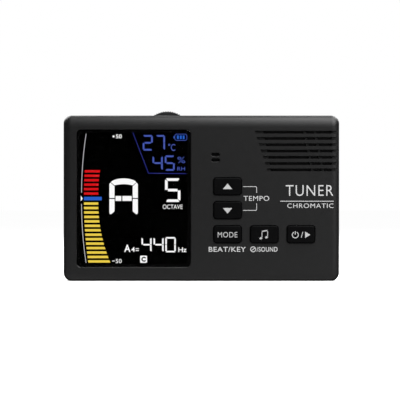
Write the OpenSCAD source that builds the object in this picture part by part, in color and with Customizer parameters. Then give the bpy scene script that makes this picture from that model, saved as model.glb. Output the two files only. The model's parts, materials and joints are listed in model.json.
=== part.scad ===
// Pocket metronome and tuner: a flat two-shell case with a colour display, five keys, a
// loudspeaker, a volume thumbwheel, two jacks, a charging socket and a fold-out rear stand.
// Each piece is drawn lying on its back: x to the right, y up the face, z towards the user.
// upright() then stands it on its long lower edge, so that the face looks along -Y.

/* [Case] */
// Width of the case
case_w = 110; // [110:0.5:114]
// Height of the case
case_h = 66; // [66:0.5:68]
// Depth of the case
case_d = 16; // [16:0.5:18]
// Corner radius of the outline
corner_r = 3.2; // [3:0.1:3.6]
// Width and depth of the rolled edge round the face
face_roll = 3; // [2.4:0.1:3]
// How far the roll reaches down the face from the top edge
top_roll = 4.8; // [3:0.1:5]
// Radius of the rolled edge round the back
rear_roll = 2; // [1:0.1:2]
// Thickness of the side walls and the back
wall = 1.8; // [1.6:0.1:1.8]
// Thickness of the face
face_wall = 2; // [1.8:0.1:2]

/* [Display] */
// Width of the display window
window_w = 45.5; // [44:0.1:45.6]
// Height of the display window
window_h = 54.9; // [52:0.1:55]
// Corner radius of the display window
window_r = 1.8; // [1:0.1:2]
// Distance of the window's centre from the case's centre line
window_x = -26.95; // [-27.1:0.05:-26.5]

/* [Keys] */
// Width of a key
key_w = 11; // [9:0.1:11]
// Height of a key
key_h = 6.75; // [6:0.05:6.75]
// Corner radius of a key
key_r = 1.1; // [0.8:0.1:1.5]
// How far a key stands out of the face
key_rise = 0.7; // [0.5:0.1:0.7]
// How far a key travels
key_travel = 0.4; // [0.2:0.1:0.4]

/* [Loudspeaker] */
// Diameter of the loudspeaker
speaker_d = 28; // [26:0.5:28]
// Number of grooves in the grille
groove_count = 7; // [4:1:7]
// Distance from one groove to the next
groove_pitch = 2.5; // [2.3:0.1:2.5]
// Width of a groove
groove_w = 1.15; // [0.8:0.05:1.2]

/* [Thumbwheel] */
// Diameter of the volume thumbwheel
wheel_d = 20; // [19:0.1:20]
// How far the wheel stands out of the top edge
wheel_rise = 2; // [1.5:0.05:2]
// Number of teeth in the wheel's knurl
wheel_teeth = 66; // [40:1:80]

/* [Stand] */
// Width of the fold-out stand
stand_w = 43.4; // [30:0.1:43.4]
// Thickness of the stand
stand_t = 2.2; // [2:0.1:2.2]
// Height of the stand's hinge above the lower edge
hinge_y = 40.8; // [38:0.1:40.8]

/* [Hidden] */
$fn = 64;
eps = 0.02;
arc_steps = 6;
roll_steps = 8;

// Levels in z. The middle plane of the case is z = 0.
front_z = case_d / 2;
rear_z = -case_d / 2;
face_in = front_z - face_wall;
rear_in = rear_z + wall;
part_z = 1;
shadow_gap_h = 0.4;
shadow_gap_d = 0.25;
board_front = 1.6;
board_rear = 0;

// Colours
charcoal = [0.16, 0.16, 0.165];
key_black = [0.04, 0.04, 0.045];
clear_grey = [0.1, 0.1, 0.12, 0.5];
glass_black = [0.01, 0.01, 0.015];
white_plastic = [0.9, 0.9, 0.88];
grey_rubber = [0.25, 0.25, 0.26];
board_green = [0.05, 0.32, 0.16];
steel = [0.75, 0.75, 0.78];
dark_steel = [0.35, 0.35, 0.37];
copper = [0.75, 0.42, 0.22];
foam_black = [0.08, 0.08, 0.08];
foil_silver = [0.8, 0.8, 0.82];
lead_red = [0.75, 0.08, 0.06];

// Display stack, from the lens back to the board
window_y = case_h / 2 - 0.05;
window_flare = 0.25;
window_flare_h = 0.2;
window_rim = 1;
lens_t = 0.8;
lens_seat = front_z - 1.1;
lens_gap = 0.05;
view_w = window_w - 2 * window_rim;
view_h = window_h - 2 * window_rim;
gasket_t = 0.3;
gasket_rim = 1.3;
lcd_w = 46.4;
lcd_h = 57.6;
lcd_front = face_in - gasket_t;
lcd_rear = 3.8;
frame_wall = 1;
frame_gap = 0.1;
frame_front = lcd_front - 0.1;
guide_w = 44.5;
guide_h = 52;
guide_rear = 1.7;
guide_front = 3.7;
zebra_w = 42;
zebra_t = 2;
zebra_offset = lcd_h / 2 - 1.3;
led_size = [0.9, 3, 1.8];
led_offsets = [-13, 0, 13];

// Keys, with their centres on the face
key_gap = 0.15;
key_flare = 0.25;
key_edge = 0.45;
flange_w = 12.6;
flange_h = 8.4;
flange_t = 0.8;
flange_front = face_in - 0.1;
flange_rear = flange_front - flange_t;
key_up_at = [10.4, 37.7];
key_down_at = [10.4, 28.2];
key_mode_at = [10.4, 18.6];
key_note_at = [25, 18.6];
key_power_at = [39.6, 18.6];
key_points = [key_up_at, key_down_at, key_mode_at, key_note_at, key_power_at];
plunger_r = 1.7;
plunger_front = 4.4;
plunger_gap = 0.05;
post_r = 1.6;
switch_size = 6;
switch_front = 3.8;
switch_bore_rear = 2.2;
plunger_rear = switch_bore_rear + key_travel + 0.05;

// Loudspeaker and its grille
speaker_at = [38.4, 49.8];
speaker_r = speaker_d / 2;
grille_top_y = 59.3;
groove_depth = 0.9;
groove_left = 21.4;
groove_lean = 0.32;
slot_left = 24.7;
slot_right = 52;
slot_lean = 0.2;
rib_w = 0.9;
rib_starts = [41.2, 45.3];
cloth_t = 0.15;
cloth_left = 23.6;
cloth_bottom = 42.6;
cloth_top = 60.3;
speaker_gasket_t = 0.5;
basket_front = face_in - cloth_t - speaker_gasket_t;
rim_t = 0.6;
rim_w = 1.8;
basket_seat_r = 8.2;
basket_hole_r = 4.1;
basket_rear = 2;
basket_sheet = 0.6;
magnet_r = 6.4;
magnet_rear = -1.6;
coil_r = 3.8;
coil_t = 0.35;
coil_rear = 1;
coil_front = 4.2;
coil_gap = 0.25;
locator_t = 0.8;
locator_gap = 0.2;
locator_rear = 3;

// Microphone behind its two slots
mic_at = [5.6, 49.3];
mic_slot = [3.4, 1.35];
mic_slot_pitch = 2.2;
mic_r = 3;
mic_front = 5.6;
mic_rear = 3.3;
boot_r = 4;
boot_rear = 3;
pin_r = 0.3;
pin_offset = 1.27;

// Volume thumbwheel and its potentiometer
wheel_r = wheel_d / 2;
wheel_at = [-13.7, case_h + wheel_rise - wheel_r];
wheel_front = -1.7;
wheel_rear = -3.9;
tooth_h = 0.3;
shaft_r = 1.5;
shaft_front = -0.1;
pot_r = 5;
pot_rear = -1.5;
pot_gap = 0.06;
wheel_screw_r = 0.8;
wheel_screw_deep = 1.7;
wheel_head_r = 1.6;
wheel_head_t = 0.7;
wheel_slot_w = 17;
wheel_slot_gap = 0.35;

// Fold-out stand in its recess
stand_tip_y = 6.2;
stand_mid = -6.7;
recess_w = 44;
recess_bottom = 5;
recess_top = 43;
recess_floor = -5.2;
recess_r = 1.5;
tray_wall = 1.2;
tray_in = recess_floor + tray_wall;
hinge_pin_r = 0.6;
hinge_gap = 0.05;
hinge_pin_out = 2;
hinge_pin_in = 4;
hinge_block = [3, 5, 1.7];
notch_w = 14;
notch_bottom = 2.6;
notch_floor = -5.6;
pad_w = 32;
pad_t = 1.2;
pad_deep = 2;
pad_out = 0.6;
relief_inset = 4;
relief_deep = 0.4;

// Main board
board_left = -51.8;
board_right = 52.4;
board_edge = 2.4;
board_r = 1.5;
board_speaker_gap = 0.6;

// Screws
case_screw_points = [[26.5, 4], [1.2, case_h - 3.9], [50.6, 4], [50.6, case_h - 3.9]];
board_screw_points = [[17.5, 57], [46.5, 30], [33, 8]];
screw_r = 0.98;
pilot_r = 1;
clearance_r = 1.2;
case_boss_r = 2;
case_pillar_r = 2.5;
board_boss_r = 2;
pillar_gap = 0.5;
head_r = 1.9;
head_t = 1.4;
head_sink = 0.3;
head_gap = 0.15;
case_screw_front = 4.6;
board_head_t = 1.3;
board_screw_front = 5.2;
cross_w = 0.5;
cross_l = 2;
cross_deep = 0.8;

// Jacks on the right side, both on the board's rear face
jack_points = [[40, 13], [40, 23]];
jack_z = -2.8;
jack_w = 6.2;
jack_end = case_w / 2 - wall - 0.1;
jack_nose_r = 2.6;
jack_bore_r = 1.8;
jack_bore_deep = 14;
jack_hole_gap = 0.15;

// Charging socket on the left side
usb_y = 14;
usb_z = -1.65;
usb_w = 8.94;
usb_h = 3.26;
usb_long = 7.3;
usb_sheet = 0.3;
usb_back = 0.8;
usb_hole_gap = 0.18;
tongue_size = [5, 6.7, 0.7];

// Snap tongues on the left wall
hook_points = [26, 52];
hook_w = 8;
hook_t = 0.9;
hook_bottom = -3;
hook_top = 3.6;
hook_gap = 0.1;
bump_low = 2.6;
bump_high = 3.2;
bump_out = 0.3;

// Vent slots over the climate sensor
vent_x = -46;
vent_low = 44.5;
vent_count = 4;
vent_pitch = 2.4;
vent_slot = [8, 1.2];

// Rubber feet on the back
foot_points = [[-40, 9], [-40, 57], [40, 9], [40, 57]];
foot_r = 3.5;
foot_sink = 0.6;
foot_rise = 0.7;

// Battery on the stand's recess and its plug
battery_size = [40, 32, 3];
battery_at = [0, 24];
battery_r = 1.2;
tape_t = 0.2;
battery_rear = tray_in + tape_t;
socket_size = [4.6, 6, 3.2];
socket_at = [28, 27];
plug_size = [3.4, 4.8, 2.4];
plug_rear = -2.9;
lead_r = 0.45;
lead_sides = 8;
lead_steps = 4;
battery_lead_ys = [28.6, 31.4];
speaker_lead_sides = [0, 1.5];
lead_angle = 222;
lead_gap = 0.02;

// Chips on the board
sensor_size = [3, 3, 0.9];
processor_size = [10, 10, 1.5];
processor_at = [-36, 30];
amplifier_size = [5, 4, 1.5];
amplifier_at = [24, 36];
crystal_size = [8, 3.2, 2.6];
crystal_at = [-36, 41];
capacitor_r = 2;
capacitor_l = 6;
capacitor_at = [33, 14.5];
chip_r = 0.4;

// Stands a piece that was drawn on its back on its lower edge.
module upright() {
    rotate([90, 0, 0]) children();
}

// A quarter circle of radius r round [x, y], from angle a
function corner(x, y, r, a) = [
    for (i = [0:arc_steps]) let (t = a + 90 * i / arc_steps) [x + r * cos(t), y + r * sin(t)]
];

// The outline of a w by h rectangle with rounded corners, centred
function round_rect(w, h, r) = concat(
    corner(w / 2 - r, h / 2 - r, r, 0),
    corner(-w / 2 + r, h / 2 - r, r, 90),
    corner(-w / 2 + r, -h / 2 + r, r, 180),
    corner(w / 2 - r, -h / 2 + r, r, 270)
);

// A plate with rounded corners, centred on at, from z0 to z1
module plate(at, w, h, r, z0, z1) {
    translate([at.x, at.y, z0]) linear_extrude(z1 - z0) polygon(round_rect(w, h, r));
}

// A flat ring with rounded corners
module plate_ring(at, w, h, r, rim, z0, z1) {
    difference() {
        plate(at, w, h, r, z0, z1);
        plate(at, w - 2 * rim, h - 2 * rim, max(r - rim, 0.3), z0 - eps, z1 + eps);
    }
}

// A cut that widens by flare on each side on its way from z0 to z1
module flared_cut(at, w, h, r, flare, z0, z1) {
    low = round_rect(w, h, r);
    high = round_rect(w + 2 * flare, h + 2 * flare, r + flare);
    n = len(low);
    translate([at.x, at.y, 0])
        polyhedron(
            concat([for (p = low) [p.x, p.y, z0]], [for (p = high) [p.x, p.y, z1]]),
            concat(
                [[for (i = [0:n - 1]) i], [for (i = [n - 1:-1:0]) n + i]],
                [for (i = [0:n - 1]) let (next = (i + 1) % n) [i, n + i, n + next, next]]
            )
        );
}

// An upright cylinder on at, from z0 to z1
module rod(at, r, z0, z1) {
    translate([at.x, at.y, z0]) cylinder(h = z1 - z0, r = r);
}

// A box on at, from z0 up by its own height
module block(at, size, z0) {
    translate([at.x - size.x / 2, at.y - size.y / 2, z0]) cube(size);
}

// One ring of the case's surface at z: inset by side on three edges and by top on the top edge
function case_ring(side, top, z) =
    let (
        w = case_w - 2 * side,
        h = case_h - side - top,
        r = max(corner_r - side, 0.2),
        y = (case_h + side - top) / 2
    )
    [for (p = round_rect(w, h, r)) [p.x, p.y + y, z]];

// Half of the case as a solid block, from z0 to z1, with a rolled edge at z1
module rolled_block(z0, z1, depth, side, top) {
    rings = [
        case_ring(0, 0, z0),
        for (i = [0:roll_steps])
            let (a = 90 * i / roll_steps, inset = 1 - cos(a))
                case_ring(side * inset, top * inset, z1 - depth * (1 - sin(a))),
    ];
    n = len(rings[0]);
    last = n * (len(rings) - 1);
    polyhedron(
        [for (ring = rings) for (p = ring) p],
        concat(
            [[for (i = [0:n - 1]) i], [for (i = [n - 1:-1:0]) last + i]],
            [
                for (k = [0:len(rings) - 2], i = [0:n - 1])
                    let (next = (i + 1) % n, low = k * n, high = low + n)
                        [low + i, high + i, high + next, low + next],
            ]
        )
    );
}

// The inside of the case, from z0 to z1
module cavity(z0, z1) {
    r = corner_r - wall;
    plate([0, case_h / 2], case_w - 2 * wall, case_h - 2 * wall, r, z0, z1);
}

// x of a line that leans to the right as it goes down the grille
function lean_x(x, lean, y) = x + lean * (grille_top_y - y);

// A strip of the grille at height y between two leaning lines
function grille_strip(y, x0, lean0, x1, lean1) = let (up = y + groove_w / 2, low = y - groove_w / 2) [
    [lean_x(x0, lean0, up), up],
    [lean_x(x0, lean0, low), low],
    [lean_x(x1, lean1, low), low],
    [lean_x(x1, lean1, up), up],
];

// Shallow grooves that run out over the right-hand edge, with three through slots in each
module grille_cuts() {
    rib = rib_w / 2;
    for (i = [0:groove_count - 1]) {
        y = grille_top_y - i * groove_pitch;
        translate([0, 0, front_z - groove_depth])
            linear_extrude(groove_depth + eps)
                polygon(grille_strip(y, groove_left, groove_lean, case_w / 2 + 1, 0));
        translate([0, 0, face_in - eps])
            linear_extrude(face_wall + 2 * eps) {
                polygon(grille_strip(y, slot_left, slot_lean, rib_starts[0] - rib, slot_lean));
                polygon(grille_strip(y, rib_starts[0] + rib, slot_lean, rib_starts[1] - rib, slot_lean));
                polygon(grille_strip(y, rib_starts[1] + rib, slot_lean, slot_right, 0));
            }
    }
}

module window_cuts() {
    at = [window_x, window_y];
    plate(at, window_w, window_h, window_r, lens_seat, front_z + eps);
    plate(at, view_w, view_h, window_r, face_in - eps, lens_seat + eps);
    flared_cut(at, window_w, window_h, window_r, window_flare, front_z - window_flare_h, front_z + eps);
}

module key_cuts() {
    w = key_w + 2 * key_gap;
    h = key_h + 2 * key_gap;
    for (at = key_points) {
        plate(at, w, h, key_r + key_gap, face_in - eps, front_z + eps);
        flared_cut(at, w, h, key_r + key_gap, key_flare, front_z - key_flare, front_z + eps);
    }
}

module mic_cuts() {
    for (side = [-1, 1])
        plate([mic_at.x, mic_at.y + side * mic_slot_pitch / 2], mic_slot.x, mic_slot.y,
            mic_slot.y / 2 - eps, face_in - eps, front_z + eps);
}

// An arc of rib under the loudspeaker, below the grille's slots
module speaker_locator() {
    intersection() {
        difference() {
            rod(speaker_at, speaker_r + locator_gap + locator_t, locator_rear, face_in + eps);
            rod(speaker_at, speaker_r + locator_gap, locator_rear - eps, face_in + 2 * eps);
        }
        block([speaker_at.x, cloth_bottom - speaker_d / 2], [speaker_d, speaker_d, case_d], 0);
    }
}

module front_cover() {
    color(charcoal) upright() difference() {
        union() {
            difference() {
                rolled_block(part_z, front_z, face_roll, face_roll, top_roll);
                cavity(part_z - eps, face_in);
            }
            for (at = case_screw_points) rod(at, case_boss_r, part_z, face_in + eps);
            for (at = board_screw_points) rod(at, board_boss_r, board_front, face_in + eps);
            speaker_locator();
        }
        window_cuts();
        key_cuts();
        mic_cuts();
        grille_cuts();
        for (at = case_screw_points) rod(at, pilot_r, part_z - eps, case_screw_front + eps);
        for (at = board_screw_points) rod(at, pilot_r, board_front - eps, board_screw_front + eps);
        for (y = hook_points)
            translate([
                -case_w / 2 + wall - bump_out - hook_gap,
                y - hook_w / 2 - hook_gap,
                bump_low - hook_gap,
            ])
                cube([wall, hook_w + 2 * hook_gap, bump_high - bump_low + 2 * hook_gap]);
    }
}

// The rear half as a block, with a step at the parting line that shows as a fine dark gap
module rear_block() {
    mirror([0, 0, 1])
        rolled_block(-part_z + shadow_gap_h, -rear_z, rear_roll, rear_roll, rear_roll);
    plate([0, case_h / 2], case_w - 2 * shadow_gap_d, case_h - 2 * shadow_gap_d, corner_r - shadow_gap_d,
        0, part_z);
}

module hook(y) {
    inner = -case_w / 2 + wall;
    translate([inner - hook_gap, y - hook_w / 2, hook_bottom])
        cube([hook_t + hook_gap, hook_w, part_z - hook_bottom]);
    translate([inner + hook_gap, y - hook_w / 2, hook_bottom])
        cube([hook_t - hook_gap, hook_w, hook_top - hook_bottom]);
    translate([inner - bump_out, y - hook_w / 2, bump_low])
        cube([bump_out + hook_t, hook_w, bump_high - bump_low]);
}

module stand_recess() {
    mid = (recess_top + recess_bottom) / 2;
    plate([0, mid], recess_w, recess_top - recess_bottom, recess_r, rear_z - eps, recess_floor);
    plate([0, (notch_bottom + recess_bottom) / 2 + 1], notch_w, recess_bottom - notch_bottom + 2, recess_r,
        rear_z - eps, notch_floor);
    translate([0, hinge_y, stand_mid])
        rotate([0, 90, 0])
            cylinder(
                h = recess_w + 2 * (hinge_pin_out + hinge_gap),
                r = hinge_pin_r + hinge_gap,
                center = true
            );
}

// Tray over the recess inside the case, with a block for each hinge bore
module stand_tray() {
    h = recess_top + tray_wall - wall;
    plate([0, wall + h / 2], recess_w + 2 * tray_wall, h, recess_r, rear_in - eps, tray_in);
    for (side = [-1, 1])
        block([side * (recess_w + hinge_block.x) / 2, hinge_y], hinge_block, rear_in - eps);
}

module side_cuts() {
    outer = case_w / 2;
    for (at = jack_points)
        translate([outer - 2 * wall, at.y, jack_z])
            rotate([0, 90, 0]) cylinder(h = 3 * wall, r = jack_nose_r + jack_hole_gap);
    translate([-outer - wall, usb_y, usb_z])
        rotate([90, 0, 90]) linear_extrude(3 * wall) polygon(usb_outline(usb_hole_gap));
    translate([wheel_at.x - wheel_slot_w / 2, case_h - 2 * wall, wheel_rear - wheel_slot_gap])
        cube([wheel_slot_w, 3 * wall, wheel_front - wheel_rear + 2 * wheel_slot_gap]);
}

module rear_cover() {
    color(charcoal) upright() difference() {
        union() {
            difference() {
                rear_block();
                cavity(rear_in, part_z + eps);
            }
            for (at = case_screw_points) rod(at, case_pillar_r, rear_in - eps, part_z);
            stand_tray();
            for (y = hook_points) hook(y);
        }
        stand_recess();
        side_cuts();
        for (at = case_screw_points) {
            rod(at, head_r + head_gap, rear_z - eps, rear_z + head_sink + head_t);
            rod(at, clearance_r, rear_z - eps, part_z + eps);
        }
        for (at = foot_points) rod(at, foot_r, rear_z - eps, rear_z + foot_sink);
        for (i = [0:vent_count - 1])
            plate([vent_x, vent_low + i * vent_pitch], vent_slot.x, vent_slot.y, vent_slot.y / 2 - eps,
                rear_z - eps, rear_in + eps);
    }
}

module display_lens() {
    color(clear_grey) upright()
        plate([window_x, window_y], window_w - 2 * lens_gap, window_h - 2 * lens_gap, window_r - lens_gap,
            lens_seat, lens_seat + lens_t);
}

module display_gasket() {
    color(foam_black) upright()
        plate_ring([window_x, window_y], view_w + 2 * gasket_rim, view_h + 2 * gasket_rim,
            window_r, gasket_rim, lcd_front, face_in);
}

module lcd_panel() {
    color(glass_black) upright()
        plate([window_x, window_y], lcd_w, lcd_h, 0.5, lcd_rear, lcd_front);
}

module lcd_frame() {
    rim = frame_wall + frame_gap;
    color(key_black) upright()
        plate_ring([window_x, window_y], lcd_w + 2 * rim, lcd_h + 2 * rim, 1.3, frame_wall,
            board_front, frame_front);
}

module backlight_guide() {
    color(white_plastic) upright()
        plate([window_x, window_y], guide_w, guide_h, 0.5, guide_rear, guide_front);
}

module backlight_leds() {
    x = window_x + guide_w / 2 + led_size.x / 2 + frame_gap / 2;
    color("gold") upright()
        for (dy = led_offsets) block([x, window_y + dy], led_size, guide_rear);
}

module zebra_strips() {
    color(grey_rubber) upright()
        for (side = [-1, 1])
            block([window_x, window_y + side * zebra_offset], [zebra_w, zebra_t, lcd_rear - board_front],
                board_front);
}

module main_board() {
    w = board_right - board_left;
    color(board_green) upright() difference() {
        plate([(board_left + board_right) / 2, case_h / 2], w, case_h - 2 * board_edge, board_r,
            board_rear, board_front);
        for (at = case_screw_points) rod(at, case_pillar_r + pillar_gap, -case_d, case_d);
        rod(speaker_at, speaker_r + board_speaker_gap, -case_d, case_d);
        translate([speaker_at.x, speaker_at.y, -case_d]) cube([speaker_d, speaker_d, 2 * case_d]);
        for (at = board_screw_points) rod(at, clearance_r, -case_d, case_d);
    }
}

// A key cap with a rolled top edge, a retaining flange and a post that bears on the switch
module key_cap(at) {
    top = front_z + key_rise;
    color(key_black) upright() {
        hull() {
            plate(at, key_w, key_h, key_r, flange_front - flange_t / 2, top - key_edge);
            plate(at, key_w - key_edge / 2, key_h - key_edge / 2, key_r, top - key_edge, top - key_edge / 4);
            plate(at, key_w - 2 * key_edge, key_h - 2 * key_edge, key_r - key_edge / 2, top - key_edge, top);
        }
        plate(at, flange_w, flange_h, key_r, flange_rear, flange_front);
        rod(at, post_r, plunger_front, flange_rear + eps);
    }
}

module key_up() { key_cap(key_up_at); }
module key_down() { key_cap(key_down_at); }
module key_mode() { key_cap(key_mode_at); }
module key_note() { key_cap(key_note_at); }
module key_power() { key_cap(key_power_at); }

// The plunger of a key's switch
module plunger(at) {
    color("dimgray") upright() rod(at, plunger_r, plunger_rear, plunger_front);
}

module plunger_up() { plunger(key_up_at); }
module plunger_down() { plunger(key_down_at); }
module plunger_mode() { plunger(key_mode_at); }
module plunger_note() { plunger(key_note_at); }
module plunger_power() { plunger(key_power_at); }

module tact_switches() {
    size = [switch_size, switch_size, switch_front - board_front];
    color("silver") upright()
        for (at = key_points)
            difference() {
                block(at, size, board_front);
                rod(at, plunger_r + plunger_gap, switch_bore_rear, switch_front + eps);
            }
}

// Outline of the knurled wheel: each tooth rises and falls in four steps
function knurl(r, teeth) = [
    for (i = [0:teeth - 1], step = [[0, 1], [0.3, 1], [0.5, 0], [0.8, 0]])
        let (a = 360 * (i + step[0]) / teeth, d = r - tooth_h * (1 - step[1])) [d * cos(a), d * sin(a)]
];

module volume_wheel() {
    color(key_black) upright() difference() {
        translate([wheel_at.x, wheel_at.y, wheel_rear])
            linear_extrude(wheel_front - wheel_rear) polygon(knurl(wheel_r, wheel_teeth));
        rod(wheel_at, shaft_r, wheel_rear - eps, wheel_front + eps);
    }
}

module volume_shaft() {
    color(steel) upright() difference() {
        rod(wheel_at, shaft_r, wheel_rear, shaft_front);
        rod(wheel_at, wheel_screw_r, wheel_rear - eps, wheel_rear + wheel_screw_deep + 0.2);
    }
}

// A cross recess that opens towards -z at z0
module cross_recess(at, z0, deep) {
    for (size = [[cross_l, cross_w, deep + eps], [cross_w, cross_l, deep + eps]]) block(at, size, z0 - eps);
}

module volume_wheel_screw() {
    head = wheel_rear - wheel_head_t;
    color(steel) upright() difference() {
        union() {
            rod(wheel_at, wheel_head_r, head, wheel_rear);
            rod(wheel_at, wheel_screw_r, wheel_rear - eps, wheel_rear + wheel_screw_deep);
        }
        cross_recess(wheel_at, head, wheel_head_t / 2);
    }
}

module volume_pot() {
    color("tan") upright() difference() {
        union() {
            rod(wheel_at, pot_r, pot_rear, board_rear);
            block([wheel_at.x, wheel_at.y - pot_r], [8, 4, -pot_rear], pot_rear);
        }
        rod(wheel_at, shaft_r + pot_gap, pot_rear - eps, board_rear + eps);
    }
}

// A ring-shaped part of the loudspeaker, turned about its axis
module speaker_turned(outline) {
    translate([speaker_at.x, speaker_at.y, 0]) rotate_extrude() polygon(outline);
}

module speaker_basket() {
    z = basket_front;
    color(dark_steel) upright() speaker_turned([
        [speaker_r - rim_w, z - rim_t],
        [speaker_r - rim_w, z],
        [speaker_r, z],
        [speaker_r, z - rim_t],
        [speaker_r - rim_w / 2, z - rim_t],
        [basket_seat_r, basket_rear],
        [basket_hole_r, basket_rear],
        [basket_hole_r, basket_rear + basket_sheet],
        [basket_seat_r - basket_sheet / 2, basket_rear + basket_sheet],
    ]);
}

// Cone with a small centre dome and a flat outer surround
module speaker_cone() {
    sheet = 0.25;
    rim = speaker_r - rim_w;
    top = basket_front;
    neck = coil_front + sheet;
    color([0.12, 0.12, 0.12]) upright() speaker_turned([
        [0, top - sheet],
        [0, top - 2 * sheet],
        [coil_r / 2, neck + sheet / 2],
        [coil_r, coil_front],
        [coil_r + sheet, coil_front],
        [rim - 1, top - sheet],
        [rim, top - sheet],
        [rim, top],
        [rim - 1, top],
        [coil_r + sheet, neck],
        [coil_r, neck],
        [coil_r / 2, neck + 1.5 * sheet],
    ]);
}

module voice_coil() {
    color(copper) upright() difference() {
        rod(speaker_at, coil_r, coil_rear, coil_front);
        rod(speaker_at, coil_r - coil_t, coil_rear - eps, coil_front + eps);
    }
}

module speaker_magnet() {
    color(steel) upright() difference() {
        rod(speaker_at, magnet_r, magnet_rear, basket_rear);
        difference() {
            rod(speaker_at, coil_r + coil_gap, coil_rear - coil_gap, basket_rear + eps);
            rod(speaker_at, coil_r - coil_t - coil_gap, coil_rear - 2 * coil_gap, basket_rear + 2 * eps);
        }
    }
}

module speaker_gasket() {
    color(foam_black) upright() difference() {
        rod(speaker_at, speaker_r, basket_front, basket_front + speaker_gasket_t);
        rod(speaker_at, speaker_r - rim_w, basket_front - eps, face_in + eps);
    }
}

module speaker_cloth() {
    right = case_w / 2 - wall - 0.1;
    color(foam_black) upright() difference() {
        translate([cloth_left, cloth_bottom, face_in - cloth_t])
            cube([right - cloth_left, cloth_top - cloth_bottom, cloth_t]);
        rod(case_screw_points[3], case_boss_r + 0.1, 0, front_z);
    }
}

// A point on a smooth curve between b and c, where a and d are their neighbours
function smooth_point(a, b, c, d, t) =
    0.5 * (2 * b + (c - a) * t + (2 * a - 5 * b + 4 * c - d) * t * t
        + (3 * b - a - 3 * c + d) * t * t * t);

function smooth_path(p, steps) = let (n = len(p)) [
    for (i = [0:n - 2], s = [0:steps - 1])
        smooth_point(p[max(i - 1, 0)], p[i], p[i + 1], p[min(i + 2, n - 1)], s / steps),
    p[n - 1],
];

// A tube of radius r along a path that never runs straight up
module lead(path, r) {
    p = smooth_path(path, lead_steps);
    n = len(p);
    rings = [
        for (i = [0:n - 1])
            let (
                t = p[min(i + 1, n - 1)] - p[max(i - 1, 0)],
                side = cross(t, [0, 0, 1]) / norm(cross(t, [0, 0, 1])),
                up = cross(side, t) / norm(t)
            )
            for (k = [0:lead_sides - 1])
                let (a = 360 * k / lead_sides) p[i] + r * (cos(a) * side + sin(a) * up)
    ];
    walls = [
        for (i = [0:n - 2], k = [0:lead_sides - 1])
            let (next = (k + 1) % lead_sides, low = i * lead_sides, high = low + lead_sides)
                for (f = [[low + k, low + next, high + next], [low + k, high + next, high + k]]) f
    ];
    first = [for (k = [lead_sides - 1:-1:0]) k];
    last = [for (k = [0:lead_sides - 1]) (n - 1) * lead_sides + k];
    polyhedron(rings, concat(walls, [first, last]));
}

// A point behind the loudspeaker, r from its axis towards the amplifier and out to the side
function lead_point(r, side, z) = [
    speaker_at.x + r * cos(lead_angle) - side * sin(lead_angle),
    speaker_at.y + r * sin(lead_angle) + side * cos(lead_angle),
    z,
];

module speaker_leads() {
    color(lead_red) upright()
        for (side = speaker_lead_sides)
            lead([
                lead_point(12, side, 3.5),
                lead_point(13.2, side, 2.7),
                lead_point(15.5, side, 2.3),
                lead_point(18, side, 2.1),
                lead_point(20.5, side, 2.1),
            ], lead_r);
}

module battery_leads() {
    x = battery_at.x + battery_size.x / 2;
    z = battery_rear + battery_size.z / 2;
    plug_x = socket_at.x - plug_size.x - lead_gap;
    plug_z = plug_rear + plug_size.z / 2;
    color(lead_red) upright()
        for (y = battery_lead_ys)
            lead([[x + lead_gap, y, z], [x + 1.2, y, z], [plug_x - 1.2, y, plug_z], [plug_x, y, plug_z]],
                lead_r);
}

module microphone() {
    color(steel) upright() {
        rod(mic_at, mic_r, mic_rear, mic_front);
        for (side = [-1, 1])
            rod([mic_at.x + side * pin_offset, mic_at.y], pin_r, board_front, mic_rear + eps);
    }
}

module microphone_boot() {
    color(grey_rubber) upright() difference() {
        rod(mic_at, boot_r, boot_rear, face_in);
        rod(mic_at, mic_r, boot_rear - eps, face_in + eps);
    }
}

module battery() {
    color(foil_silver) upright()
        plate(battery_at, battery_size.x, battery_size.y, battery_r, battery_rear,
            battery_rear + battery_size.z);
}

module battery_tape() {
    color("white") upright()
        plate(battery_at, battery_size.x - 8, battery_size.y - 8, 0.5, tray_in, battery_rear);
}

module battery_plug() {
    y = (battery_lead_ys[0] + battery_lead_ys[1]) / 2;
    color("ivory") upright() block([socket_at.x - plug_size.x / 2, y], plug_size, plug_rear);
}

module battery_socket() {
    color("ivory") upright()
        translate([socket_at.x, socket_at.y, board_rear - socket_size.z]) cube(socket_size);
}

// A 3.5 mm jack: body under the board and a round nose through the side wall
module jack(at) {
    body = [jack_end - at.x, jack_w, -2 * jack_z];
    tip = case_w / 2;
    color(key_black) upright() difference() {
        union() {
            block([at.x + body.x / 2, at.y], body, 2 * jack_z);
            translate([jack_end - eps, at.y, jack_z])
                rotate([0, 90, 0]) cylinder(h = tip - jack_end + eps, r = jack_nose_r);
        }
        translate([tip - jack_bore_deep, at.y, jack_z])
            rotate([0, 90, 0]) cylinder(h = jack_bore_deep + eps, r = jack_bore_r);
    }
}

module phones_jack() { jack(jack_points[0]); }
module pickup_jack() { jack(jack_points[1]); }

// The charging socket's oval outline, wider by grow all round
function usb_outline(grow) =
    let (w = usb_w + 2 * grow, h = usb_h + 2 * grow) round_rect(w, h, h / 2 - eps);

module usb_shell() {
    outer = -case_w / 2;
    color(steel) upright() difference() {
        translate([outer, usb_y, usb_z])
            rotate([90, 0, 90]) linear_extrude(usb_long) polygon(usb_outline(0));
        translate([outer - eps, usb_y, usb_z])
            rotate([90, 0, 90]) linear_extrude(usb_long - usb_back + eps) polygon(usb_outline(-usb_sheet));
    }
}

module usb_tongue() {
    x = -case_w / 2 + usb_long - usb_back - tongue_size.x / 2;
    color(key_black) upright() block([x, usb_y], tongue_size, usb_z - tongue_size.z / 2);
}

// A chip on the board's rear face
module rear_chip(at, size) {
    plate(at, size.x, size.y, chip_r, board_rear - size.z, board_rear);
}

module climate_sensor() {
    color("white") upright() rear_chip([vent_x, vent_low + vent_pitch * 1.5], sensor_size);
}

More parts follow.
